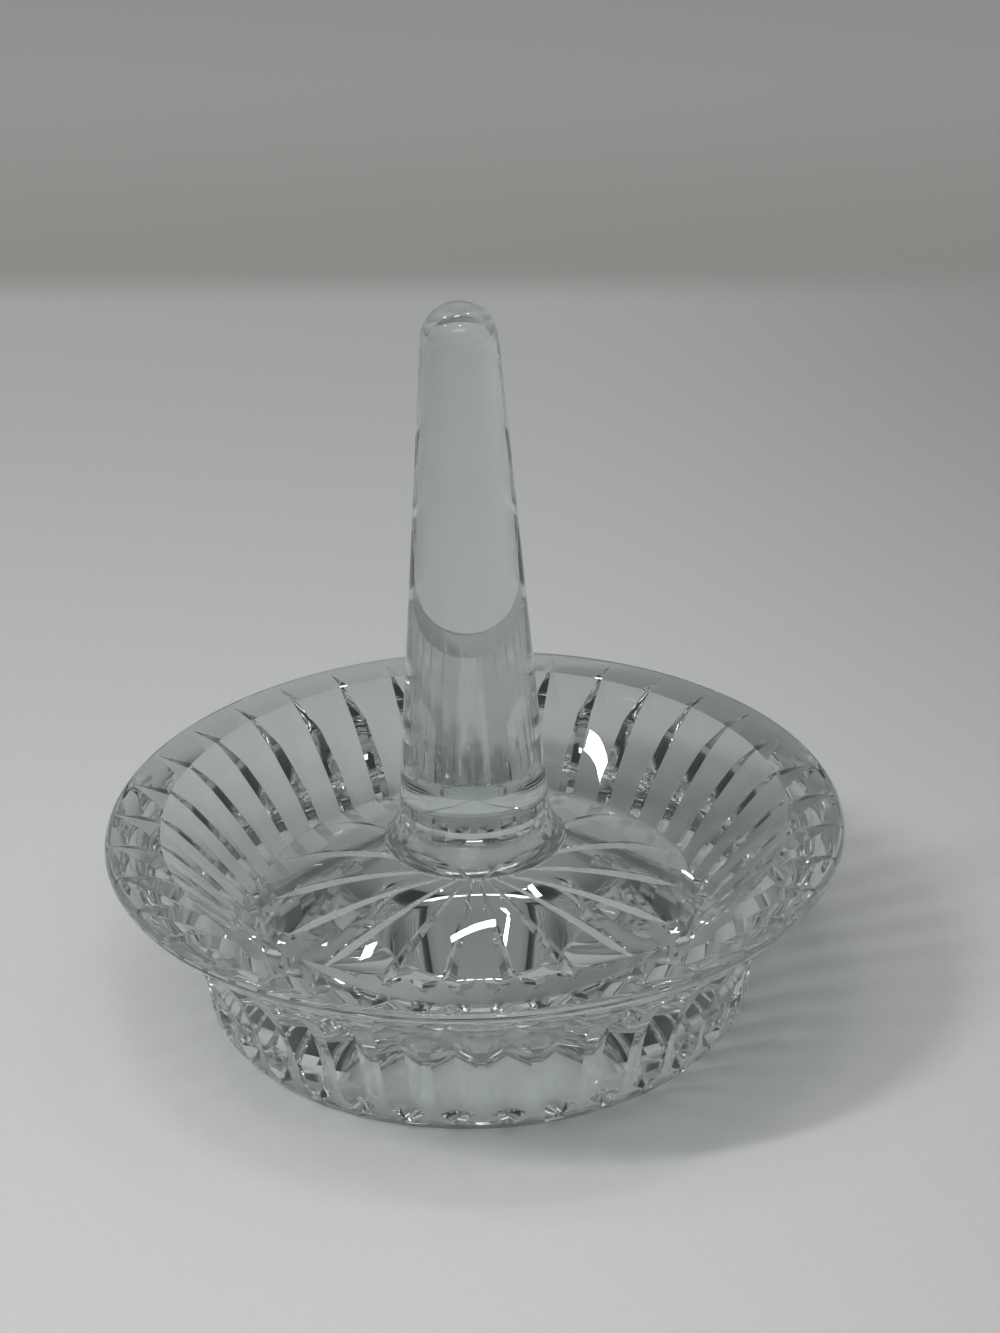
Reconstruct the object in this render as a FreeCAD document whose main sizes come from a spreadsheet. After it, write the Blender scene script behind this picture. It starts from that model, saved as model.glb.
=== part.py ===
import FreeCAD, Part
import os
import Sketcher

# A cut-glass ring dish: a thick bowl with a flared lip, a floor that rises to a
# seat in its middle, mitre cuts round the outside of its wall and a star cut
# under its floor, and a tapered ring post that a thin clear film bonds to the
# seat.  Millimetres, +Z up; the origin is on the table under the middle of the
# dish.

os.makedirs("parts", exist_ok=True)
doc = FreeCAD.newDocument("ring_dish")

driving = [
    ("lip_radius", "45", "outer radius of the flared lip"),
    ("lip_height", "23.5", "top of the lip at its outer edge"),
    ("lip_round", "1.05", "rounding radius of the lip's outer edge"),
    ("lip_thick", "1.6", "thickness of the lip at its outer edge"),
    ("lip_tuck", "0.35", "how far the lip's lower edge lies inside its outer edge"),
    ("band_width", "6.8", "width of the polished band on top of the lip"),
    ("band_rise", "0.35", "rise of the band from its outer to its inner edge"),
    ("band_bevel", "0.3", "bevel at the inner edge of the band"),
    ("floor_edge_radius", "26.9", "radius of the crease between the bowl's wall and its floor"),
    ("floor_edge_height", "12.6", "height of that crease"),
    ("floor_curve", "88", "radius of the floor's slope from the crease up to the seat"),
    ("floor_thick", "2.3", "thickness of the floor at that crease"),
    ("seat_height", "20.7", "height of the flat seat in the middle of the floor"),
    ("seat_margin", "0.15", "how far the seat reaches past the post's foot"),
    ("cove_radius", "28", "radius of the hollow curve of the outer wall"),
    ("wall_foot_radius", "33.6", "radius of the wall at its lower edge"),
    ("wall_foot_height", "1.2", "height of the wall's lower edge"),
    ("foot_bevel", "0.9", "how far the foot lies inside the wall's lower edge"),
    ("foot_width", "3.8", "width of the flat foot ring"),
    ("hollow_draw", "1.6", "how far the hollow narrows up to its edge"),
    ("hollow_rise", "1.1", "rise of the hollow from its edge to its middle"),
    ("cut_count", "36", "mitre cuts round the wall"),
    ("cut_slope", "0.62", "depth of a mitre cut over its half width"),
    ("cut_clear", "0.6", "how far the mitre cutter stands out of the wall"),
    ("cut_tip", "0.05", "half width of a mitre cut at its two points"),
    ("cut_tip_drop", "0.5", "upper point of a mitre cut below the lip's lower edge"),
    ("cut_upper_height", "17", "height of a mitre cut's upper stretch"),
    ("cut_upper_share", "0.62", "share of the pitch that a cut takes there"),
    ("cut_middle_height", "10.8", "height of a mitre cut's middle stretch"),
    ("cut_middle_share", "0.84", "share of the pitch that a cut takes there"),
    ("cut_low_height", "4.2", "height of a mitre cut's lower stretch"),
    ("cut_low_share", "0.86", "share of the pitch that a cut takes there"),
    ("cut_foot_height", "2.6", "height of a mitre cut's lowest stretch"),
    ("cut_foot_share", "0.7", "share of the pitch that a cut takes there"),
    ("cut_end_rise", "0.15", "lower point of a mitre cut above the wall's lower edge"),
    ("ray_count", "18", "rays of the star under the floor"),
    ("ray_slope", "0.8", "depth of a ray over its half width"),
    ("ray_clear", "0.6", "how far the star cutter stands out of the hollow"),
    ("ray_tip", "0.06", "half width of a ray at its two points"),
    ("ray_start", "1.2", "distance of a ray's inner point from the middle"),
    ("ray_end", "24", "distance of a ray's outer point from the middle"),
    ("ray_taper", "4", "length over which a ray narrows to its outer point"),
    ("ray_half_width", "0.85", "half width of a ray where it is widest"),
    ("film_thick", "0.1", "thickness of the bond film"),
    ("foot_lap", "0.3", "how far the post's foot laps over the film"),
    ("foot_edge", "0.1", "height of the edge of the post's foot"),
    ("foot_flare", "2", "how far the post's foot spreads past the post"),
    ("foot_curve", "5.6", "height of the hollow curve above the post's foot"),
    ("post_low_radius", "9", "radius of the post above its foot"),
    ("post_top_radius", "4.5", "radius of the post under its rounded tip"),
    ("post_height", "89.6", "height of the tip above the table"),
]
sizes = doc.addObject("Spreadsheet::Sheet", "Sizes")
for row, (alias, number, note) in enumerate(driving, start=1):
    sizes.set("A%d" % row, note)
    sizes.set("B%d" % row, number)
    sizes.setAlias("B%d" % row, alias)
doc.recompute()

# Places that follow from the driving dimensions, each an expression over the
# sheet: radius and height of the profile's corners, and of the stations along
# a cut with the half width and the tilt of the cutter there.
places = doc.addObject("App::VarSet", "Places")


def place(name, expression, kind="App::PropertyFloat"):
    """Adds one worked-out value, bound to the sheet, and returns its name."""
    places.addProperty(kind, name)
    places.setExpression(name, expression)
    doc.recompute()
    return name


def now(name):
    """The number that a worked-out value or a cell has now, or 0 for "0"."""
    if name == "0":
        return 0.0
    held = getattr(places if name in places.PropertiesList else sizes, name)
    return float(getattr(held, "Value", held))


def bound(name):
    """The expression that reads a worked-out value or a cell."""
    return ("Places." if name in places.PropertiesList else "Sizes.") + name


place("band_radius", "Sizes.lip_radius - Sizes.band_width")
place("band_height", "Sizes.lip_height + Sizes.band_rise")
place("bowl_radius", "band_radius - Sizes.band_bevel")
place("bowl_height", "band_height - Sizes.band_bevel")
place("lip_side_height", "Sizes.lip_height - Sizes.lip_round")
place("lip_top_radius", "Sizes.lip_radius - Sizes.lip_round")
place("lip_low_radius", "Sizes.lip_radius - Sizes.lip_tuck")
place("lip_low_height", "Sizes.lip_height - Sizes.lip_thick")
place("foot_outer_radius", "Sizes.wall_foot_radius - Sizes.foot_bevel")
place("foot_inner_radius", "foot_outer_radius - Sizes.foot_width")
place("hollow_radius", "foot_inner_radius - Sizes.hollow_draw")
place("hollow_edge", "Sizes.floor_edge_height - Sizes.floor_thick")
place("hollow_top", "hollow_edge + Sizes.hollow_rise")
place("hollow_curve", "(hollow_radius^2 + Sizes.hollow_rise^2) / (2 * Sizes.hollow_rise)")
place("film_top", "Sizes.seat_height + Sizes.film_thick")
place("foot_radius", "Sizes.post_low_radius + Sizes.foot_flare")
place("film_radius", "foot_radius - Sizes.foot_lap")
place("seat_radius", "foot_radius + Sizes.seat_margin")
place("foot_edge_top", "film_top + Sizes.foot_edge")
place("foot_curve_top", "foot_edge_top + Sizes.foot_curve")
place("foot_bend", "(Sizes.foot_flare^2 + Sizes.foot_curve^2) / (2 * Sizes.foot_flare)")
place("tip_start", "Sizes.post_height - Sizes.post_top_radius")

# The outer wall is an arc from the wall's lower edge up to the lip's, with its
# centre outside the glass.
place("cove_run", "lip_low_radius - Sizes.wall_foot_radius")
place("cove_rise", "lip_low_height - Sizes.wall_foot_height")
place("cove_chord", "sqrt(cove_run^2 + cove_rise^2)")
place("cove_reach", "sqrt(Sizes.cove_radius^2 - cove_chord^2 / 4)")
place("chord_mid_radius", "(lip_low_radius + Sizes.wall_foot_radius) / 2")
place("chord_mid_height", "(lip_low_height + Sizes.wall_foot_height) / 2")
place("cove_mid_radius", "chord_mid_radius + cove_rise / cove_chord * cove_reach")
place("cove_mid_height", "chord_mid_height - cove_run / cove_chord * cove_reach")

# Stations of a mitre cut on the outer wall's arc, from its upper point down to
# its lower one.
place("half_pitch", "pi / Sizes.cut_count")
stations = ["tip", "upper", "middle", "low", "foot", "end"]
place("tip_z", "lip_low_height - Sizes.cut_tip_drop")
place("upper_z", "Sizes.cut_upper_height")
place("middle_z", "Sizes.cut_middle_height")
place("low_z", "Sizes.cut_low_height")
place("foot_z", "Sizes.cut_foot_height")
place("end_z", "Sizes.wall_foot_height + Sizes.cut_end_rise")
for station in stations:
    place(station + "_up", "%s_z - cove_mid_height" % station)
    place(station + "_x", "cove_mid_radius - sqrt(Sizes.cove_radius^2 - %s_up^2)" % station)
    lean = "atan2(%s_up; cove_mid_radius - %s_x)" % (station, station)
    place(station + "_lean", lean, "App::PropertyAngle")
for station in stations[1:-1]:
    place(station + "_half", "Sizes.cut_%s_share * half_pitch * %s_x" % (station, station))
place("tip_half", "Sizes.cut_tip")
place("end_half", "Sizes.cut_tip")

# Stations of a ray of the star, from its inner point out to its outer one.  The
# star is turned so that each ray lies midway between two cuts.
place("star_turn", "180 deg / Sizes.cut_count", "App::PropertyAngle")
rays = ["start", "wide", "last"]
place("start_x", "Sizes.ray_start")
place("start_half", "Sizes.ray_tip")
place("wide_x", "Sizes.ray_end - Sizes.ray_taper")
place("wide_half", "Sizes.ray_half_width")
place("last_x", "Sizes.ray_end")
place("last_half", "Sizes.ray_tip")
for ray in rays:
    place(ray + "_level", "hollow_top - hollow_curve + sqrt(hollow_curve^2 - %s_x^2)" % ray)
    place(ray + "_deep", "%s_level + Sizes.ray_slope * %s_half" % (ray, ray))
    place(ray + "_base", "%s_level - Sizes.ray_clear" % ray)
    place(ray + "_side", "%s_half + Sizes.ray_clear / Sizes.ray_slope" % ray)
for station in stations:
    place(station + "_deep", "Sizes.cut_slope * %s_half" % station)
    place(station + "_side", "%s_half + Sizes.cut_clear / Sizes.cut_slope" % station)


def origin_feature(body, role):
    """The origin plane or axis of a body that has this role."""
    for feature in body.Origin.OriginFeatures:
        if feature.Role == role:
            return feature
    raise ValueError("no origin feature with the role " + role)


def new_body(name):
    body = doc.addObject("PartDesign::Body", name)
    body.Label = name
    return body


def new_sketch(body, name, role):
    """An empty sketch on one of the body's origin planes."""
    sketch = body.newObject("Sketcher::SketchObject", name)
    sketch.AttachmentSupport = [(origin_feature(body, role), "")]
    sketch.MapMode = "FlatFace"
    doc.recompute()
    return sketch


def pin(sketch, kind, geometry, point, name):
    """Holds one coordinate of a point: 0 is on the axis, anything else is bound."""
    if name == "0":
        axis = -2 if kind == "DistanceX" else -1
        sketch.addConstraint(Sketcher.Constraint("PointOnObject", geometry, point, axis))
        return
    index = sketch.addConstraint(Sketcher.Constraint(kind, -1, 1, geometry, point, now(name)))
    sketch.setExpression("Constraints[%d]" % index, bound(name))


def outline(sketch, corners):
    """Closes an outline through corners (x name, y name, bend): a bend is None
    for a straight run to the next corner, or the name of an arc's radius and
    +1 or -1 for the side of the run on which the arc bulges (+1 is the right)."""
    spots = [FreeCAD.Vector(now(x), now(y), 0) for x, y, _ in corners]
    ends = []
    for i, (_, _, bend) in enumerate(corners):
        a, b = spots[i], spots[(i + 1) % len(spots)]
        if bend is None:
            ends.append((sketch.addGeometry(Part.LineSegment(a, b), False), 1, 2))
            continue
        radius, side = bend
        chord = b - a
        half = chord.Length / 2
        sag = now(radius) - max(now(radius) ** 2 - half ** 2, 0.0) ** 0.5
        right = FreeCAD.Vector(chord.y, -chord.x, 0).normalize()
        crown = (a + b) / 2 + right * (side * sag)
        arc = sketch.addGeometry(Part.Arc(a, crown, b), False)
        near, far = [(sketch.getPoint(arc, end) - a).Length for end in (1, 2)]
        first = 1 if near < far else 2
        ends.append((arc, first, 3 - first))
    for i, (x, y, bend) in enumerate(corners):
        geometry, first, last = ends[i]
        after, after_first, _ = ends[(i + 1) % len(ends)]
        sketch.addConstraint(Sketcher.Constraint("Coincident", geometry, last, after, after_first))
        pin(sketch, "DistanceX", geometry, first, x)
        pin(sketch, "DistanceY", geometry, first, y)
        if bend is not None:
            index = sketch.addConstraint(Sketcher.Constraint("Radius", geometry, now(bend[0])))
            sketch.setExpression("Constraints[%d]" % index, bound(bend[0]))
    doc.recompute()


def revolved(body, name, corners):
    """A solid of revolution about the body's Z axis from a closed outline."""
    sketch = new_sketch(body, name + "_profile", "XZ_Plane")
    outline(sketch, corners)
    turned = body.newObject("PartDesign::Revolution", name)
    turned.Profile = sketch
    turned.ReferenceAxis = (sketch, ["V_Axis"])
    turned.Angle = 360
    doc.recompute()
    return turned


def patterned(body, name, loft, count):
    """Repeats a cut evenly round the body's Z axis."""
    ring = body.newObject("PartDesign::PolarPattern", name)
    ring.Originals = [loft]
    ring.Axis = (origin_feature(body, "Z_Axis"), [""])
    ring.Angle = 360
    ring.Occurrences = int(now(count))
    ring.setExpression("Occurrences", bound(count))
    body.Tip = ring
    doc.recompute()
    return ring


def cut_through(body, name, sections):
    """One cut along its stations, with straight lines from each to the next."""
    loft = body.newObject("PartDesign::SubtractiveLoft", name)
    loft.Profile = sections[0]
    loft.Sections = sections[1:]
    loft.Ruled = True
    doc.recompute()
    return loft


def vee(sketch, tip, shoulder, side, tip_sign, shoulder_sign, along):
    """A triangle, even about one sketch axis: its tip lies on that axis and its
    base across it at the shoulder, half as wide as side on either hand.  Along
    is "x" or "y", the axis that it is even about."""
    down = tip_sign * now(tip)
    base = shoulder_sign * now(shoulder)
    half = now(side)
    if along == "x":
        spots = [(down, 0.0), (base, half), (base, -half)]
    else:
        spots = [(0.0, down), (half, base), (-half, base)]
    points = [FreeCAD.Vector(x, y, 0) for x, y in spots]
    sides = [Part.LineSegment(points[i], points[(i + 1) % 3]) for i in range(3)]
    lines = [sketch.addGeometry(side, False) for side in sides]
    for i in range(3):
        sketch.addConstraint(Sketcher.Constraint("Coincident", lines[i], 2, lines[(i + 1) % 3], 1))
    run, across, axis = "DistanceX", "DistanceY", -1
    if along == "y":
        run, across, axis = "DistanceY", "DistanceX", -2
    sketch.addConstraint(Sketcher.Constraint("PointOnObject", lines[0], 1, axis))
    sketch.addConstraint(Sketcher.Constraint("Symmetric", lines[0], 2, lines[1], 2, axis))
    for kind, geometry, point, name, number in (
        (run, lines[0], 1, tip, down),
        (run, lines[0], 2, shoulder, base),
        (across, lines[0], 2, side, half),
    ):
        index = sketch.addConstraint(Sketcher.Constraint(kind, -1, 1, geometry, point, number))
        sketch.setExpression("Constraints[%d]" % index, ("-" if number < 0 else "") + bound(name))
    doc.recompute()


def build_dish():
    """The dish: turned profile, then the ring of mitre cuts, then the star."""
    body = new_body("dish")
    blank = revolved(body, "dish_blank", [
        ("0", "seat_height", None),
        ("seat_radius", "seat_height", ("floor_curve", -1)),
        ("floor_edge_radius", "floor_edge_height", None),
        ("bowl_radius", "bowl_height", None),
        ("band_radius", "band_height", None),
        ("lip_top_radius", "lip_height", ("lip_round", -1)),
        ("lip_radius", "lip_side_height", None),
        ("lip_low_radius", "lip_low_height", ("cove_radius", 1)),
        ("wall_foot_radius", "wall_foot_height", None),
        ("foot_outer_radius", "0", None),
        ("foot_inner_radius", "0", None),
        ("hollow_radius", "hollow_edge", ("hollow_curve", 1)),
        ("0", "hollow_top", None),
    ])
    sections = []
    for station in stations:
        sketch = new_sketch(body, "mitre_" + station, "XY_Plane")
        turn = FreeCAD.Rotation(FreeCAD.Vector(0, 1, 0), now(station + "_lean"))
        sketch.AttachmentOffset = FreeCAD.Placement(
            FreeCAD.Vector(now(station + "_x"), 0, now(station + "_z")), turn)
        sketch.setExpression("AttachmentOffset.Base.x", bound(station + "_x"))
        sketch.setExpression("AttachmentOffset.Base.z", bound(station + "_z"))
        sketch.setExpression("AttachmentOffset.Rotation.Angle", bound(station + "_lean"))
        vee(sketch, station + "_deep", "cut_clear", station + "_side", -1, 1, "x")
        sections.append(sketch)
    mitre = cut_through(body, "mitre_cut", sections)
    ring = patterned(body, "mitre_ring", mitre, "cut_count")
    sections = []
    for ray in rays:
        sketch = new_sketch(body, "ray_" + ray, "YZ_Plane")
        turn = FreeCAD.Rotation(FreeCAD.Vector(0, 1, 0), now("star_turn"))
        reach = turn.multVec(FreeCAD.Vector(0, 0, now(ray + "_x")))
        sketch.AttachmentOffset = FreeCAD.Placement(reach, turn)
        sketch.setExpression("AttachmentOffset.Base.x", bound(ray + "_x") + " * sin(Places.star_turn)")
        sketch.setExpression("AttachmentOffset.Base.z", bound(ray + "_x") + " * cos(Places.star_turn)")
        sketch.setExpression("AttachmentOffset.Rotation.Angle", bound("star_turn"))
        vee(sketch, ray + "_deep", ray + "_base", ray + "_side", 1, 1, "y")
        sections.append(sketch)
    ray_cut = cut_through(body, "ray_cut", sections)
    star = patterned(body, "star", ray_cut, "ray_count")
    volumes = [feature.Shape.Volume for feature in (blank, mitre, ring, ray_cut, star)]
    print("dish volumes, mm3:", ["%.1f" % volume for volume in volumes])
    if any(after >= before for before, after in zip(volumes, volumes[1:])):
        raise ValueError("a cut of the dish removed nothing")
    return body


def build_bond_film():
    """The clear film between the floor and the post's foot: a thin disc."""
    body = new_body("bond_film")
    revolved(body, "film_disc", [
        ("0", "seat_height", None),
        ("film_radius", "seat_height", None),
        ("film_radius", "film_top", None),
        ("0", "film_top", None),
    ])
    return body


def build_ring_post():
    """The ring post: flared foot, tapered shaft and rounded tip, all turned."""
    body = new_body("ring_post")
    revolved(body, "post_turning", [
        ("0", "film_top", None),
        ("foot_radius", "film_top", None),
        ("foot_radius", "foot_edge_top", ("foot_bend", -1)),
        ("post_low_radius", "foot_curve_top", None),
        ("post_top_radius", "tip_start", ("post_top_radius", 1)),
        ("0", "post_height", None),
    ])
    return body


pieces = [build_dish(), build_bond_film(), build_ring_post()]
doc.recompute()
for item in doc.Objects:
    if any(flag in item.State for flag in ("Invalid", "Error")):
        raise ValueError("%s is in the state %s" % (item.Name, item.State))
for piece in pieces:
    if piece.Shape.isNull() or not piece.Shape.isValid() or len(piece.Shape.Solids) != 1:
        raise ValueError("%s has no single valid solid" % piece.Label)
for piece in pieces:
    print("%s: %.1f mm3" % (piece.Label, piece.Shape.Volume))
    piece.Shape.exportStep(os.path.join("parts", piece.Label + ".step"))
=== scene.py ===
import math
from collections import namedtuple

import bmesh
import bpy
import numpy as np
from mathutils import Matrix, Quaternion, Vector


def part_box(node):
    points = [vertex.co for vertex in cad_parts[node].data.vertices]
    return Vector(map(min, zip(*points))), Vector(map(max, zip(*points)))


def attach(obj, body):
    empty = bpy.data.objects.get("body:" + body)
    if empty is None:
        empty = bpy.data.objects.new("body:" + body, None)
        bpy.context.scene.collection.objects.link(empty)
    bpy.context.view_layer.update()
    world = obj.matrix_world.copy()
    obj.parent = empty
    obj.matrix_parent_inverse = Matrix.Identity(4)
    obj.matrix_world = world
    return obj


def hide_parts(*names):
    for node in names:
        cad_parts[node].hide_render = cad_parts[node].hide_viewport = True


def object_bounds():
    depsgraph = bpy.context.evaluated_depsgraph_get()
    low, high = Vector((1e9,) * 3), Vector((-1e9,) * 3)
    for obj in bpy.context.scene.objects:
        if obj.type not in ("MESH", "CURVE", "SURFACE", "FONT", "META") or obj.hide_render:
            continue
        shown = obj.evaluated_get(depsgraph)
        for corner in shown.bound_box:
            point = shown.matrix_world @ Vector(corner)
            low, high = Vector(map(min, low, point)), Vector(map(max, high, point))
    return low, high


bl_info = {
    "name": "Cut-glass ring dish",
    "version": (1, 0, 0),
    "blender": (4, 5, 0),
    "location": "3D View > Sidebar > Ring Dish",
    "description": "Builds a cut-glass ring dish with its post, its table and its light",
    "category": "Object",
}

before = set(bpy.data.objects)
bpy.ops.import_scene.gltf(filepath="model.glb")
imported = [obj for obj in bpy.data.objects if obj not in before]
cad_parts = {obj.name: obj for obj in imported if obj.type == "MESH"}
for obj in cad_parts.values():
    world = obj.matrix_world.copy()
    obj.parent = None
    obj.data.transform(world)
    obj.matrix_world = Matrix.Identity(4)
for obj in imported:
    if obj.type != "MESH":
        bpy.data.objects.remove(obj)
CAD_BOX = [list(corner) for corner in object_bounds()]
LIP_RADIUS = CAD_BOX[1][0]
POST_TOP = CAD_BOX[1][2]
DISH_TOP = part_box("dish")[1][2]
POST_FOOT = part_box("ring_post")[0][2]
FILM_LOW, FILM_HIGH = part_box("bond_film")
MM = 0.001

# Columns round every surface, a multiple of twice the cuts, and rows on the seat.
COLUMNS = 432
EVEN = np.arange(COLUMNS) * 2 * math.pi / COLUMNS
SEAT_ROWS = 3
# Points nearer than MERGE are joined at the poles; edges that turn by more than CREASE stay sharp.
MERGE = 1e-7
CREASE = math.radians(14)

# The table's half width, and its drop below the foot, so that the two don't share a plane.
TABLE_REACH = 4.0
TABLE_DROP = 0.05 * MM
SENSOR_WIDTH = 36.0
NEAR_CLIP = 10 * MM
# How many surfaces of glass light may pass, and how many a shadow may.
GLASS_BOUNCES = 96
SHADOW_BOUNCES = 48

BLACK, WHITE = (0.0, 0.0, 0.0), (1.0, 1.0, 1.0)
ROOM_DARK = (0.03, 0.033, 0.035)
ROOM_PALE = (0.12, 0.125, 0.12)
ROOM_CEILING = (0.27, 0.28, 0.28)

# Lamps that face the origin: spots and sides in metres, with the camera's side at -Y,
# power in watts, whether the glass shows them, and a twist about their own axis in degrees.
Lamp = namedtuple("Lamp", "name spot wide tall power seen twist")
LAMPS = [
    Lamp("ceiling", (-0.25, -0.25, 1.2), 1.2, 1.2, 5.9, False, 0),
    Lamp("left", (-0.73, -0.27, 0.97), 0.07, 0.35, 6.2, False, 0),
    Lamp("right", (0.75, -0.1, 0.95), 0.3, 0.5, 0.7, False, 0),
    Lamp("tube", (-0.738, -0.2, 0.975), 0.2, 0.012, 0.32, True, 34),
    Lamp("strip", (-0.039, 0.195, 1.85), 0.45, 0.045, 2.5, True, 0),
    Lamp("window", (0.0, -0.84, 1.08), 0.9, 0.2, 1.2, True, 0),
    Lamp("glint_0", (-0.7, 0.3, 1.2), 0.07, 0.07, 0.7, True, 0),
    Lamp("glint_1", (0.5, 0.5, 1.4), 0.07, 0.07, 0.7, True, 0),
    Lamp("glint_2", (0.1, -0.6, 1.3), 0.07, 0.07, 0.7, True, 0),
]


def length(name, description, default):
    """A size in metres with its name and description."""
    return bpy.props.FloatProperty(
        name=name, description=description, default=default, unit="LENGTH", precision=5, step=0.01)


def ratio(name, description, default):
    """A plain number."""
    return bpy.props.FloatProperty(name=name, description=description, default=default, precision=4)


def colour(name, description, default):
    """A colour, linear."""
    return bpy.props.FloatVectorProperty(
        name=name, description=description, default=default, size=3, subtype="COLOR", min=0.0, max=1.0)


def turn(name, description, degrees):
    """An angle, given here in degrees."""
    return bpy.props.FloatProperty(
        name=name, description=description, default=math.radians(degrees), subtype="ANGLE")


class DishSizes(bpy.types.PropertyGroup):
    """Radii and heights of the dish's turned profile."""
    lip_height: length("Lip height", "Top of the lip at its outer edge", DISH_TOP - 0.35 * MM)
    lip_round: length("Lip rounding", "Rounding of the lip's outer edge", 1.05 * MM)
    lip_thick: length("Lip thickness", "Thickness of the lip at its edge", 1.6 * MM)
    lip_tuck: length("Lip tuck", "How far the lip's lower edge lies inside", 0.35 * MM)
    band_width: length("Band width", "Polished band on top of the lip", 6.8 * MM)
    band_bevel: length("Band bevel", "Bevel at the band's inner edge", 0.3 * MM)
    floor_edge_radius: length("Floor edge radius", "Crease between the bowl's wall and floor", 26.9 * MM)
    floor_edge_height: length("Floor edge height", "Height of that crease", 12.6 * MM)
    floor_curve: length("Floor curve", "Radius of the floor's slope up to the seat", 88 * MM)
    floor_thick: length("Floor thickness", "Thickness of the floor at its crease", 2.3 * MM)
    seat_height: length("Seat height", "Flat seat in the middle of the floor", FILM_LOW[2])
    seat_margin: length("Seat margin", "How far the seat reaches past the post's foot", 0.15 * MM)
    cove_radius: length("Cove radius", "Hollow curve of the outer wall", 28 * MM)
    wall_foot_radius: length("Wall foot radius", "Radius of the wall's lower edge", 33.6 * MM)
    wall_foot_height: length("Wall foot height", "Height of the wall's lower edge", 1.2 * MM)
    foot_bevel: length("Foot bevel", "How far the foot lies inside the wall", 0.9 * MM)
    foot_width: length("Foot width", "Width of the flat foot ring", 3.8 * MM)
    hollow_draw: length("Hollow draw", "How far the hollow narrows up to its edge", 1.6 * MM)
    hollow_rise: length("Hollow rise", "Rise of the hollow from its edge to its middle", 1.1 * MM)


class CutSizes(bpy.types.PropertyGroup):
    """The mitre cuts round the wall and the star under the floor."""
    cut_count: bpy.props.IntProperty(name="Cuts", description="Mitre cuts round the wall", default=36)
    cut_slope: ratio("Cut slope", "Depth of a mitre cut over its half width", 0.62)
    cut_tip: length("Cut point", "Half width of a mitre cut at its points", 0.05 * MM)
    tip_drop: length("Cut top", "Upper point of a cut below the lip's lower edge", 0.5 * MM)
    upper_height: length("Upper stretch", "Height of a cut's upper stretch", 17 * MM)
    upper_share: ratio("Upper width", "Share of the pitch taken there", 0.62)
    middle_height: length("Middle stretch", "Height of a cut's middle stretch", 10.8 * MM)
    middle_share: ratio("Middle width", "Share of the pitch taken there", 0.84)
    low_height: length("Low stretch", "Height of a cut's lower stretch", 4.2 * MM)
    low_share: ratio("Low width", "Share of the pitch taken there", 0.86)
    foot_height: length("Foot stretch", "Height where a cut begins to run out", 2.6 * MM)
    foot_share: ratio("Foot width", "Share of the pitch taken there", 0.7)
    end_rise: length("Cut end", "Lower point of a cut above the wall's lower edge", 0.15 * MM)
    ray_count: bpy.props.IntProperty(name="Rays", description="Rays of the star", default=18)
    ray_slope: ratio("Ray slope", "Depth of a ray over its half width", 0.8)
    ray_tip: length("Ray point", "Half width of a ray at its points", 0.06 * MM)
    ray_start: length("Ray start", "Inner point of a ray", 1.2 * MM)
    ray_end: length("Ray end", "Outer point of a ray", 24 * MM)
    ray_taper: length("Ray taper", "Length over which a ray narrows to its outer point", 4 * MM)
    ray_half: length("Ray half width", "Half width where a ray is widest", 0.85 * MM)


class PostSizes(bpy.types.PropertyGroup):
    """The ring post and the film under it."""
    foot_radius: length("Foot radius", "Radius of the post's foot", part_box("ring_post")[1][0])
    foot_edge: length("Foot edge", "Height of the foot's edge", 0.1 * MM)
    foot_curve: length("Foot curve", "Height of the hollow curve above the foot", 5.6 * MM)
    low_radius: length("Low radius", "Radius of the post above its foot", 9.0 * MM)
    top_radius: length("Top radius", "Radius of the post under its tip", 4.5 * MM)
    film_radius: length("Film radius", "Radius of the bond film", FILM_HIGH[0])


class GlassLook(bpy.types.PropertyGroup):
    """The clear glass of the dish and the post."""
    tint: colour("Tint", "Colour of light that has gone in and out of the glass", (0.755, 0.785, 0.78))
    bending: ratio("Bending", "Index of refraction", 1.54)
    wave: length("Wave", "Height of the pressed surface's slow waves", 0.004 * MM)
    wave_scale: ratio("Wave scale", "Scale of the slow waves", 55)
    smear: ratio("Smear", "Roughness of the faint smears", 0.02)
    smear_scale: ratio("Smear scale", "Scale of the smears", 90)
    wear: ratio("Wear", "Roughness of the worn foot ring", 0.08)
    wear_scale: ratio("Wear scale", "Scale of the wear's grain", 2500)
    shade_floor: colour("Floor shade", "Light left behind one surface of the floor", (0.80, 0.82, 0.82))
    shade_pale: colour("Pale shade", "Light left behind one plain surface of the wall", (0.60, 0.62, 0.62))
    shade_dark: colour("Dark shade", "Light left behind one cut surface of the wall", (0.26, 0.28, 0.29))
    streaks: ratio("Streaks", "Rays in the dish's shadow, all round", 36)
    bubble: colour("Bubble", "Colour of the film's bubbles", (0.9, 0.92, 0.92))
    bubble_scale: ratio("Bubble scale", "Scale of the cells that hold one bubble each", 420)
    bubble_strength: ratio("Bubble strength", "How far a bubble hides what is behind it", 0.35)


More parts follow.
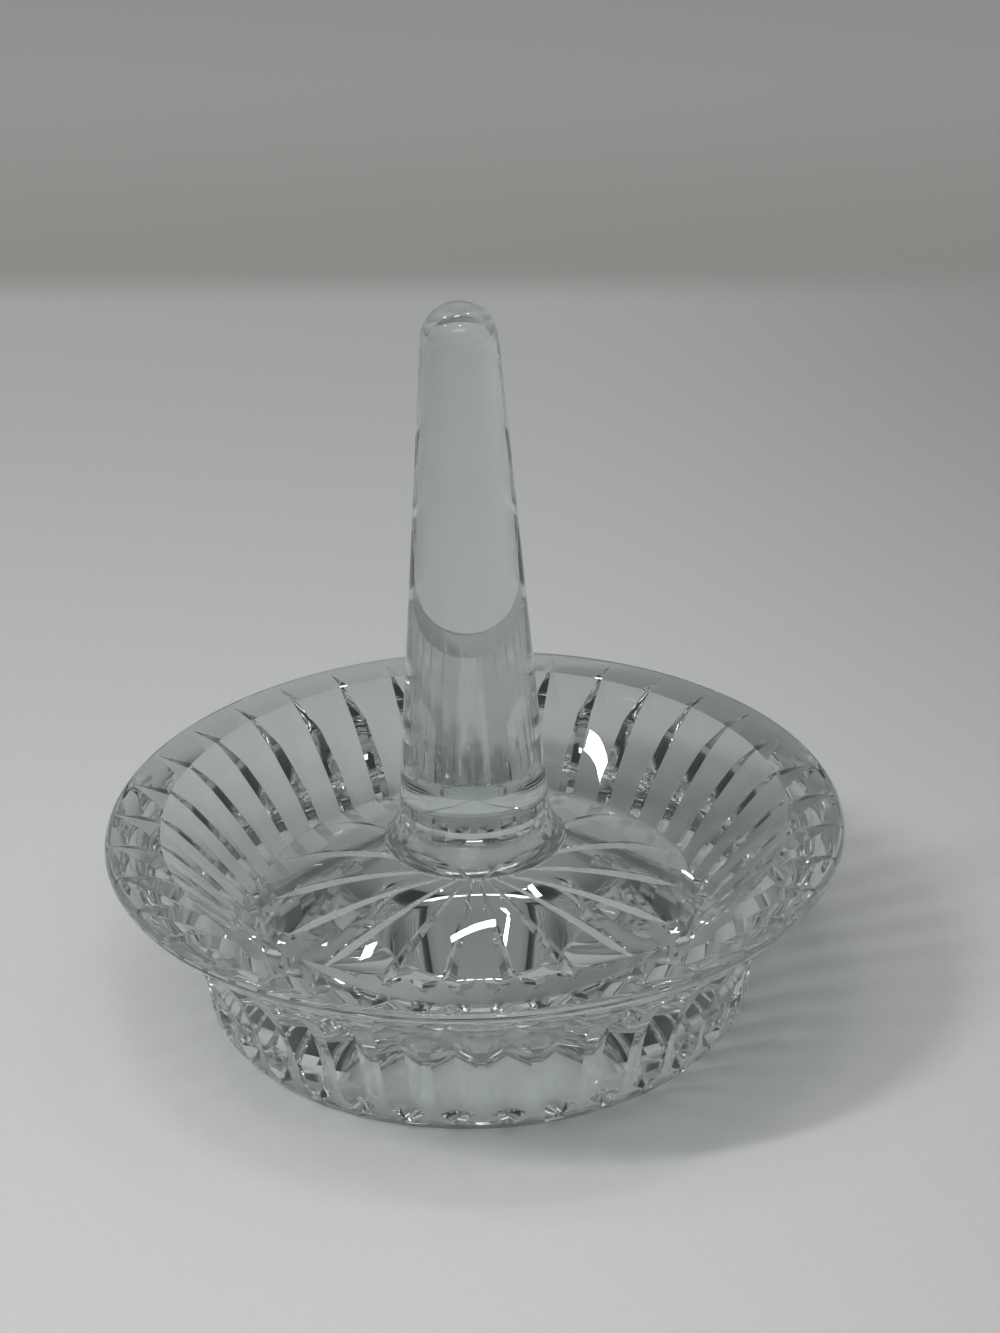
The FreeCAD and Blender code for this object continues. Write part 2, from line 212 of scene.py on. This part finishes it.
class StageLook(bpy.types.PropertyGroup):
    """The table, the light and the camera."""
    table: colour("Table", "Colour of the table near the dish", (0.56, 0.57, 0.55))
    far: colour("Far end", "Colour of the stage beyond the table", (0.285, 0.285, 0.27))
    far_at: length("Far edge", "Distance of the table's far edge behind the dish", 250.4 * MM)
    far_turn: turn("Far edge turn", "Turn of the far edge from a line across the view", 4.6)
    far_blur: length("Far edge blur", "Half width over which the far edge runs out", 12 * MM)
    far_rise: ratio("Far rise", "How far the stage pales beyond the edge", 0.10)
    # Painted shade: the table darkens towards its far edge, where the light falls off, and towards its
    # right, away from the lamp on the left.
    painted_shade_back: ratio("Dim back", "How far the table darkens towards its far edge", 0.31)
    painted_shade_right: ratio("Dim side", "How far the table darkens towards the right", 0.16)
    grain: ratio("Grain", "Strength of the table's fine grain", 0.06)
    grain_scale: ratio("Grain scale", "Scale of the table's fine grain", 900)
    azimuth: turn("Azimuth", "Camera's turn about the dish from the front", 5.16)
    elevation: turn("Elevation", "Camera's height above the table", 32.47)
    distance: length("Distance", "Camera's distance from the origin", 400.1 * MM)
    yaw: turn("Yaw", "Camera's aim, sideways", 0.55)
    pitch: turn("Pitch", "Camera's aim, up", -5.57)
    roll: turn("Roll", "Camera's roll", 1.88)
    lens: ratio("Lens", "Focal length in mm on a 36 mm sensor", 85.8)


class Socket:
    """A shader socket that takes part in Python expressions; each operator adds
    the Math node that it stands for."""

    def __init__(self, tree, link):
        self.tree, self.link = tree, link

    def math(self, operation, *others):
        return node(self.tree, "ShaderNodeMath", {"operation": operation}, dict(enumerate((self,) + others)))

    def __add__(self, other):
        return self.math("ADD", other)

    __radd__ = __add__

    def __sub__(self, other):
        return self.math("SUBTRACT", other)

    def __rsub__(self, other):
        return node(self.tree, "ShaderNodeMath", {"operation": "SUBTRACT"}, {0: other, 1: self})

    def __mul__(self, other):
        return self.math("MULTIPLY", other)

    __rmul__ = __mul__

    def step(self, low, high):
        """0 below low, 1 above high and a smooth rise between them."""
        return node(self.tree, "ShaderNodeMapRange", {"interpolation_type": "SMOOTHSTEP"},
                    {"Value": self, "From Min": low, "From Max": high})


def node(tree, kind, settings=None, inputs=None, output=0):
    """Adds a node of a kind: its settings first, then its sockets' values or
    links, and returns one of its outputs."""
    made = tree.nodes.new(kind)
    for key, value in (settings or {}).items():
        setattr(made, key, value)
    for key, value in (inputs or {}).items():
        if isinstance(value, Socket):
            tree.links.new(value.link, made.inputs[key])
        else:
            made.inputs[key].default_value = value
    return Socket(tree, made.outputs[output])


def dot(tree, vector, direction):
    """The dot product of a vector socket and a fixed direction."""
    return node(tree, "ShaderNodeVectorMath", {"operation": "DOT_PRODUCT"}, {0: vector, 1: direction}, 1)


def blend(tree, share, low, high, kind="MIX"):
    """A colour between low and high by a share; each is a socket or three numbers."""
    low, high = (tone if isinstance(tone, Socket) else (*tone, 1.0) for tone in (low, high))
    settings = {"data_type": "RGBA", "blend_type": kind}
    return node(tree, "ShaderNodeMix", settings, {0: share, 6: low, 7: high}, 2)


def shader_mix(tree, share, low, high):
    """A surface between two others by a share."""
    return node(tree, "ShaderNodeMixShader", inputs={0: share, 1: low, 2: high})


def clear_tone(tree, tone):
    """A surface that lets light straight through, tinted."""
    return node(tree, "ShaderNodeBsdfTransparent", inputs={"Color": (*tone, 1.0)})


def blank_material(name):
    """A material with an empty node tree and its output node."""
    material = bpy.data.materials.new(name)
    material.use_nodes = True
    material.node_tree.nodes.clear()
    return material, material.node_tree, material.node_tree.nodes.new("ShaderNodeOutputMaterial")


def line(a, b, count):
    """Points evenly spaced from a to b, without a."""
    t = np.linspace(0, 1, count + 1)[1:, None]
    return (1 - t) * np.asarray(a) + t * np.asarray(b)


def arc(a, b, radius, side, count):
    """Points along a circle's arc from a to b, without a.  Side is +1 where
    the arc bulges to the right of the run from a to b, and -1 to the left."""
    a, b = np.asarray(a, float), np.asarray(b, float)
    chord = b - a
    reach = np.hypot(*chord)
    right = np.array([chord[1], -chord[0]]) / reach
    centre = (a + b) / 2 - side * right * math.sqrt(max(radius ** 2 - reach ** 2 / 4, 0.0))
    start = math.atan2(*(a - centre)[::-1])
    sweep = side * 2 * math.asin(min(reach / 2 / radius, 1.0))
    angles = start + sweep * np.linspace(0, 1, count + 1)[1:]
    return centre + radius * np.stack([np.cos(angles), np.sin(angles)], axis=1)


def along(points):
    """Distance along a row of points, and the unit normal to its right."""
    steps = np.hypot(*np.diff(points, axis=0).T)
    reach = np.concatenate([[0.0], np.cumsum(steps)])
    heading = np.diff(points, axis=0) / steps[:, None]
    heading = np.concatenate([heading[:1], heading[:-1] + heading[1:], heading[-1:]])
    heading /= np.hypot(*heading.T)[:, None]
    return reach, np.stack([heading[:, 1], -heading[:, 0]], axis=1)


def fanned(share, count, shift=0):
    """Column angles for rows with a share of each pitch taken by a cut: half of
    the columns of a pitch spread over the cut and half over the plain glass
    beside it.  The first cut lies shift columns round from the X axis.  Returns
    the angles and each column's place across the pitch, from -1 through 0 on
    the cut's middle to 1."""
    each = COLUMNS // count
    column = np.arange(COLUMNS) - shift
    middle = np.ceil(column / each - 0.5)
    spot = (column - middle * each) * 2.0 / each
    share = share[:, None]
    beyond = np.sign(spot) * (share + (np.abs(spot) - 0.5) * 2 * (1 - share))
    place = np.where(np.abs(spot) <= 0.5, 2 * spot * share, beyond)
    return (2 * middle + place) * math.pi / count + shift * 2 * math.pi / COLUMNS, place


def mesh_piece(name, verts, faces, material_index, materials):
    """A mesh object at the origin from vertices and faces, merged at its poles,
    with smooth faces that break at sharp edges."""
    mesh = bpy.data.meshes.new(name)
    mesh.from_pydata(verts.tolist(), [], faces.tolist())
    for material in materials:
        mesh.materials.append(material)
    mesh.polygons.foreach_set("material_index", material_index)
    mesh.polygons.foreach_set("use_smooth", np.ones(len(faces), bool))
    work = bmesh.new()
    work.from_mesh(mesh)
    bmesh.ops.remove_doubles(work, verts=work.verts[:], dist=MERGE)
    work.to_mesh(mesh)
    work.free()
    mesh.set_sharp_from_angle(angle=CREASE)
    mesh.update()
    piece = bpy.data.objects.new(name, mesh)
    bpy.context.scene.collection.objects.link(piece)
    return piece


def ring_faces(rows):
    """Quads of a grid whose columns close round the axis, facing outwards for a
    profile that runs clockwise seen with the radius to the right."""
    i, j = np.meshgrid(np.arange(rows - 1), np.arange(COLUMNS), indexing="ij")
    k = (j + 1) % COLUMNS
    corners = [i * COLUMNS + j, (i + 1) * COLUMNS + j, (i + 1) * COLUMNS + k, i * COLUMNS + k]
    return np.stack(corners, axis=-1).reshape(-1, 4)


def turned(radius, height, angle):
    """Vertices of a turned surface: a profile's radius and height for each row,
    carried round the axis at each column's angle."""
    angle = np.broadcast_to(angle, (len(radius), COLUMNS))
    radius = np.broadcast_to(radius if np.ndim(radius) == 2 else radius[:, None], angle.shape)
    height = np.broadcast_to(height if np.ndim(height) == 2 else height[:, None], angle.shape)
    return np.stack([radius * np.cos(angle), radius * np.sin(angle), height], axis=-1).reshape(-1, 3)


def upper_profile(d, film, foot):
    """The dish's upper side: the flat seat, the sloping floor, the straight wall
    of the bowl, the polished band and the lip's rounding.  The film's and the
    foot's radii lie on the seat."""
    seat = [foot + d.seat_margin, d.seat_height]
    crease = [d.floor_edge_radius, d.floor_edge_height]
    band_radius = LIP_RADIUS - d.band_width
    bowl = [band_radius - d.band_bevel, DISH_TOP - d.band_bevel]
    lip_top = [LIP_RADIUS - d.lip_round, d.lip_height]
    return np.concatenate([
        [[0.0, d.seat_height]],
        line([0.0, d.seat_height], [film, d.seat_height], SEAT_ROWS),
        line([film, d.seat_height], seat, 1),
        arc(seat, crease, d.floor_curve, -1, 14),
        line(crease, bowl, 12),
        line(bowl, [band_radius, DISH_TOP], 1),
        line([band_radius, DISH_TOP], lip_top, 4),
        arc(lip_top, [LIP_RADIUS, d.lip_height - d.lip_round], d.lip_round, -1, 7),
    ])


def side_profile(d):
    """The lip's side, the hollow curve of the wall and the bevel above the foot."""
    lip_low = [LIP_RADIUS - d.lip_tuck, d.lip_height - d.lip_thick]
    wall_foot = [d.wall_foot_radius, d.wall_foot_height]
    return np.concatenate([
        line([LIP_RADIUS, d.lip_height - d.lip_round], lip_low, 2),
        arc(lip_low, wall_foot, d.cove_radius, 1, 48),
        line(wall_foot, [d.wall_foot_radius - d.foot_bevel, 0.0], 6),
    ])


def foot_ring(d):
    """Inner and outer radius of the flat foot ring."""
    outer = d.wall_foot_radius - d.foot_bevel
    return outer - d.foot_width, outer


def under_profile(d):
    """The foot ring, the hollow's side and its domed top."""
    foot_inner, foot_outer = foot_ring(d)
    hollow = [foot_inner - d.hollow_draw, d.floor_edge_height - d.floor_thick]
    top = [0.0, hollow[1] + d.hollow_rise]
    curve = (hollow[0] ** 2 + d.hollow_rise ** 2) / (2 * d.hollow_rise)
    return np.concatenate([
        line([foot_outer, 0.0], [foot_inner, 0.0], 2),
        line([foot_inner, 0.0], hollow, 4),
        arc(hollow, top, curve, 1, 54),
    ])


def cut_side(side, d, c):
    """The wall with its mitre cuts.  A point moves in along the profile's normal
    by the cut's slope times its distance inside the cut's edge, so the two faces
    of each cut meet in a straight vee.  Half widths run in straight steps
    between the cut's stations."""
    pitch = math.pi / c.cut_count
    reach, inward = along(side)
    lip_low = d.lip_height - d.lip_thick
    heights = [lip_low - c.tip_drop, c.upper_height, c.middle_height, c.low_height, c.foot_height,
               d.wall_foot_height + c.end_rise]
    shares = [0.0, c.upper_share, c.middle_share, c.low_share, c.foot_share, 0.0]
    stations = np.interp(heights[::-1], side[::-1, 1], reach[::-1])[::-1]
    halves = np.array(shares) * pitch * np.interp(stations, reach, side[:, 0])
    half = np.interp(reach, stations, np.maximum(halves, c.cut_tip), left=0.0, right=0.0)
    share = half / (pitch * side[:, 0])
    angle, place = fanned(np.where(share > 0, share, 0.5), c.cut_count)
    depth = c.cut_slope * np.maximum(0.0, share[:, None] - np.abs(place)) * pitch * side[:, :1]
    return turned(side[:, :1] + depth * inward[:, :1], side[:, 1:] + depth * inward[:, 1:], angle)


def star_under(under, c):
    """The underside with its star: a point rises by the ray's slope times its
    distance inside the ray's edge.  Each ray lies midway between two cuts."""
    pitch = math.pi / c.ray_count
    stations = [c.ray_start, c.ray_end - c.ray_taper, c.ray_end]
    half = np.interp(under[:, 0], stations, [c.ray_tip, c.ray_half, c.ray_tip], left=0.0, right=0.0)
    share = half / np.maximum(pitch * under[:, 0], c.ray_tip)
    angle, place = fanned(np.where(share > 0, share, 0.5), c.ray_count, COLUMNS // c.cut_count // 2)
    depth = c.ray_slope * np.maximum(0.0, share[:, None] - np.abs(place)) * pitch * under[:, :1]
    return turned(np.repeat(under[:, :1], COLUMNS, axis=1), under[:, 1:] + depth, angle)


def dish_surface(d, c, film, foot):
    """The dish as one closed surface: its profile runs from the middle of the
    floor out over the lip, down the wall, under the foot and into the middle of
    the hollow."""
    upper, side, under = upper_profile(d, film, foot), side_profile(d), under_profile(d)
    verts = np.concatenate([
        turned(upper[:, 0], upper[:, 1], EVEN), cut_side(side, d, c), star_under(under, c)])
    rows = len(upper) + len(side) + len(under)
    bonded = np.repeat(np.arange(rows - 1) < SEAT_ROWS, COLUMNS)
    return verts, ring_faces(rows), bonded.astype(np.int32)


def post_surface(p):
    """The post as one closed turned surface: from the middle of its foot out to
    the edge, up the hollow curve, up the straight taper and over the round tip."""
    edge = np.array([p.foot_radius, POST_FOOT + p.foot_edge])
    low = np.array([p.low_radius, edge[1] + p.foot_curve])
    run, rise = edge[0] - low[0], p.foot_curve
    top = np.array([p.top_radius, POST_TOP - p.top_radius])
    profile = np.concatenate([
        [[0.0, POST_FOOT]],
        line([0.0, POST_FOOT], [p.film_radius, POST_FOOT], SEAT_ROWS),
        line([p.film_radius, POST_FOOT], [p.foot_radius, POST_FOOT], 1),
        line([p.foot_radius, POST_FOOT], edge, 2),
        arc(edge, low, (run ** 2 + rise ** 2) / (2 * run), -1, 18),
        line(low, top, 24),
        arc(top, [0.0, POST_TOP], p.top_radius, 1, 18),
    ])
    verts = turned(profile[:, 0], profile[:, 1], EVEN)
    faces = ring_faces(len(profile))[:, ::-1]
    bonded = np.repeat(np.arange(len(profile) - 1) < SEAT_ROWS, COLUMNS)
    return verts, faces, bonded.astype(np.int32)


def film_surface(p):
    """The bond film as a closed disc: the profile runs from the middle of its
    underside round its edge to the middle of its top."""
    low, high = FILM_LOW[2], FILM_HIGH[2]
    profile = np.concatenate([
        [[0.0, low]],
        line([0.0, low], [p.film_radius, low], 3),
        line([p.film_radius, low], [p.film_radius, high], 2),
        line([p.film_radius, high], [0.0, high], 3),
    ])
    verts = turned(profile[:, 0], profile[:, 1], EVEN)
    return verts, ring_faces(len(profile))[:, ::-1], np.zeros((len(profile) - 1) * COLUMNS, np.int32)


def shadowed(tree, glass, parts, radius, g, d):
    """The glass as its shadow sees it: light passes straight through, less of it
    where the wall's cuts turn it aside, which leaves rays in the shadow."""
    around = parts[1].math("ARCTAN2", parts[0])
    ripple = (around * g.streaks).math("COSINE") * 0.5 + 0.5
    wall = radius.step(d.floor_edge_radius, d.wall_foot_radius)
    rays = shader_mix(tree, ripple, clear_tone(tree, g.shade_pale), clear_tone(tree, g.shade_dark))
    shade = shader_mix(tree, wall, clear_tone(tree, g.shade_floor), rays)
    return shader_mix(tree, node(tree, "ShaderNodeLightPath", output=1), glass, shade)


def crystal_material(g, d):
    """Clear polished glass with slow pressing waves, faint smears and a foot
    ring that is a little worn."""
    if "cut_crystal" in bpy.data.materials:
        return bpy.data.materials["cut_crystal"]
    material, tree, output = blank_material("cut_crystal")
    foot_inner, foot_outer = foot_ring(d)
    spot = node(tree, "ShaderNodeTexCoord", output=3)
    parts = [node(tree, "ShaderNodeSeparateXYZ", inputs={0: spot}, output=i) for i in range(3)]
    radius = (parts[0] * parts[0] + parts[1] * parts[1]).math("SQRT")
    worn = (radius.step(foot_inner - 0.2 * MM, foot_inner)
            * (1 - radius.step(foot_outer, foot_outer + 0.2 * MM))
            * (1 - parts[2].step(0.02 * MM, 0.08 * MM)))
    smear = node(tree, "ShaderNodeTexNoise", inputs={
        "Vector": spot, "Scale": g.smear_scale, "Detail": 4.0, "Roughness": 0.6})
    grain = node(tree, "ShaderNodeTexNoise", inputs={"Vector": spot, "Scale": g.wear_scale, "Detail": 2.0})
    rough = smear.step(0.55, 0.85) * g.smear + worn * grain * g.wear
    slow = node(tree, "ShaderNodeTexNoise", inputs={"Vector": spot, "Scale": g.wave_scale, "Detail": 1.0})
    bump = node(tree, "ShaderNodeBump", inputs={"Strength": 1.0, "Distance": g.wave, "Height": slow})
    glass = node(tree, "ShaderNodeBsdfPrincipled", inputs={
        "Base Color": (*g.tint, 1.0), "Transmission Weight": 1.0, "IOR": g.bending,
        "Roughness": rough, "Normal": bump})
    tree.links.new(shadowed(tree, glass, parts, radius, g, d).link, output.inputs["Surface"])
    return material


def bond_material(g):
    """Clear bonded face: light passes straight on, apart from a few tiny
    bubbles held in the film."""
    if "bond_clear" in bpy.data.materials:
        return bpy.data.materials["bond_clear"]
    material, tree, output = blank_material("bond_clear")
    spot = node(tree, "ShaderNodeTexCoord", output=3)
    cells = node(tree, "ShaderNodeTexVoronoi", inputs={"Vector": spot, "Scale": g.bubble_scale})
    bubble = 1 - cells.step(0.03, 0.05)
    shine = node(tree, "ShaderNodeBsdfPrincipled", inputs={"Base Color": (*g.bubble, 1.0), "Roughness": 0.1})
    mixed = shader_mix(tree, bubble * g.bubble_strength, clear_tone(tree, WHITE), shine)
    tree.links.new(mixed.link, output.inputs["Surface"])
    return material


def table_material(s):
    """The pale table with painted shade: darker towards its far edge, where the light falls off, and towards
    its right, away from the lamp on the left; with the stage beyond it; a fine grain keeps it from looking
    flat."""
    material, tree, output = blank_material("table_top")
    spot = node(tree, "ShaderNodeTexCoord", output=3)
    across = s.azimuth - s.far_turn
    away = dot(tree, spot, (-math.sin(across), math.cos(across), 0.0))
    aside = dot(tree, spot, (math.cos(across), math.sin(across), 0.0))
    # Painted shade on the table: darker towards its far edge and its right, in place of the light falling
    # off there.
    dim = away.step(-100 * MM, s.far_at) * s.painted_shade_back + aside.step(-10 * MM, 110 * MM) * s.painted_shade_right
    rise = away.step(s.far_at, s.far_at + 150 * MM) * s.far_rise
    edge = away.step(s.far_at - s.far_blur, s.far_at + s.far_blur)
    tone = blend(tree, edge, blend(tree, dim, s.table, BLACK), blend(tree, rise, s.far, WHITE))
    grain = node(tree, "ShaderNodeTexNoise", inputs={"Vector": spot, "Scale": s.grain_scale, "Detail": 3.0})
    tone = blend(tree, s.grain, tone, grain, "MULTIPLY")
    surface = node(tree, "ShaderNodeBsdfPrincipled", inputs={
        "Base Color": tone, "Roughness": 0.75, "Specular IOR Level": 0.2})
    tree.links.new(surface.link, output.inputs["Surface"])
    return material


def soft_lamp(scene, lamp, spin):
    """A rectangular lamp, carried round with the camera.  One that isn't seen
    only lights the table, and shows neither in nor through the glass."""
    data = bpy.data.lights.new(lamp.name, "AREA")
    data.shape = "RECTANGLE"
    data.size, data.size_y, data.energy = lamp.wide, lamp.tall, lamp.power
    item = bpy.data.objects.new(lamp.name, data)
    item.location = spot = spin @ Vector(lamp.spot)
    twist = Quaternion((0.0, 0.0, 1.0), math.radians(lamp.twist))
    item.rotation_euler = ((-spot).to_track_quat("-Z", "Y") @ twist).to_euler()
    item.visible_glossy = item.visible_transmission = lamp.seen
    scene.collection.objects.link(item)


def light_room(scene, s):
    """A dim room, paler behind the table and palest at its ceiling, with soft
    lamps overhead."""
    world = bpy.data.worlds.new("room")
    scene.world = world
    world.use_nodes = True
    tree = world.node_tree
    tree.nodes.clear()
    output = tree.nodes.new("ShaderNodeOutputWorld")
    way = node(tree, "ShaderNodeTexCoord")
    facing = dot(tree, way, (-math.sin(s.azimuth), math.cos(s.azimuth), 0.0))
    height = node(tree, "ShaderNodeSeparateXYZ", inputs={0: way}, output=2)
    tone = blend(tree, facing.step(-0.2, 0.9), ROOM_DARK, ROOM_PALE)
    tone = blend(tree, (height + facing * 0.3).step(0.45, 0.85), tone, ROOM_CEILING)
    back = node(tree, "ShaderNodeBackground", inputs={"Color": tone, "Strength": 1.0})
    tree.links.new(back.link, output.inputs["Surface"])
    spin = Matrix.Rotation(s.azimuth, 3, "Z")
    for lamp in LAMPS:
        soft_lamp(scene, lamp, spin)


def place_camera(scene, s):
    """The camera looks at the origin from its azimuth, elevation and distance,
    then turns by its yaw, pitch and roll in its own frame."""
    out = Vector((math.sin(s.azimuth) * math.cos(s.elevation), -math.cos(s.azimuth) * math.cos(s.elevation),
                  math.sin(s.elevation)))
    aimed = (-out).to_track_quat("-Z", "Y").to_matrix()
    roll, pitch = Matrix.Rotation(s.roll, 3, "Z"), Matrix.Rotation(s.pitch, 3, "X")
    own = roll @ pitch @ Matrix.Rotation(s.yaw, 3, "Y")
    data = bpy.data.cameras.new("camera")
    data.lens, data.sensor_width, data.clip_start = s.lens, SENSOR_WIDTH, NEAR_CLIP
    camera = bpy.data.objects.new("camera", data)
    camera.matrix_world = Matrix.Translation(out * s.distance) @ (aimed @ own.transposed()).to_4x4()
    scene.collection.objects.link(camera)
    scene.camera = camera


class RINGDISH_OT_dish(bpy.types.Operator):
    """Builds the dish with its mitre cuts and its star"""
    bl_idname = "ringdish.dish"
    bl_label = "Dish"

    def execute(self, context):
        scene = context.scene
        d, c, p = scene.ringdish_dish, scene.ringdish_cuts, scene.ringdish_post
        glass = [crystal_material(scene.ringdish_glass, d), bond_material(scene.ringdish_glass)]
        piece = mesh_piece("crystal_dish", *dish_surface(d, c, p.film_radius, p.foot_radius), glass)
        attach(piece, "root")
        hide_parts("dish")
        return {"FINISHED"}


class RINGDISH_OT_post(bpy.types.Operator):
    """Builds the ring post and the film that bonds it"""
    bl_idname = "ringdish.post"
    bl_label = "Ring post"

    def execute(self, context):
        scene = context.scene
        d, p = scene.ringdish_dish, scene.ringdish_post
        crystal, bond = crystal_material(scene.ringdish_glass, d), bond_material(scene.ringdish_glass)
        post = mesh_piece("crystal_post", *post_surface(p), [crystal, bond])
        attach(post, "root")
        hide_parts("ring_post")
        film = mesh_piece("clear_film", *film_surface(p), [bond])
        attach(film, "root")
        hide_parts("bond_film")
        return {"FINISHED"}


class RINGDISH_OT_stage(bpy.types.Operator):
    """Sets the table, the light and the camera"""
    bl_idname = "ringdish.stage"
    bl_label = "Stage"

    def execute(self, context):
        scene = context.scene
        s = scene.ringdish_stage
        mesh = bpy.data.meshes.new("table")
        corners = [(-1, -1), (1, -1), (1, 1), (-1, 1)]
        mesh.from_pydata([(x * TABLE_REACH, y * TABLE_REACH, 0.0) for x, y in corners], [], [(0, 1, 2, 3)])
        mesh.materials.append(table_material(s))
        table = bpy.data.objects.new("table", mesh)
        scene.collection.objects.link(table)
        table.location.z = -TABLE_DROP
        light_room(scene, s)
        place_camera(scene, s)
        scene.view_settings.view_transform = "Standard"
        return {"FINISHED"}


class RINGDISH_PT_panel(bpy.types.Panel):
    """The ring dish's pieces and their sizes"""
    bl_label = "Ring Dish"
    bl_space_type = "VIEW_3D"
    bl_region_type = "UI"
    bl_category = "Ring Dish"

    def draw(self, context):
        for operator in OPERATORS:
            self.layout.operator(operator.bl_idname)
        for key in GROUPS:
            group = getattr(context.scene, key)
            box = self.layout.box()
            for prop in group.bl_rna.properties:
                if prop.identifier not in ("rna_type", "name"):
                    box.prop(group, prop.identifier)


GROUPS = {
    "ringdish_dish": DishSizes,
    "ringdish_cuts": CutSizes,
    "ringdish_post": PostSizes,
    "ringdish_glass": GlassLook,
    "ringdish_stage": StageLook,
}
OPERATORS = [RINGDISH_OT_dish, RINGDISH_OT_post, RINGDISH_OT_stage]


def register():
    for key, group in GROUPS.items():
        bpy.utils.register_class(group)
        setattr(bpy.types.Scene, key, bpy.props.PointerProperty(type=group))
    for kind in OPERATORS + [RINGDISH_PT_panel]:
        bpy.utils.register_class(kind)


def unregister():
    for kind in [RINGDISH_PT_panel] + OPERATORS[::-1]:
        bpy.utils.unregister_class(kind)
    for key, group in GROUPS.items():
        delattr(bpy.types.Scene, key)
        bpy.utils.unregister_class(group)


def main():
    register()
    bpy.ops.ringdish.dish()
    bpy.ops.ringdish.post()
    bpy.ops.ringdish.stage()
    cycles = bpy.context.scene.cycles
    cycles.max_bounces = cycles.transmission_bounces = cycles.glossy_bounces = GLASS_BOUNCES
    cycles.transparent_max_bounces = SHADOW_BOUNCES


if __name__ == "__main__":
    main()
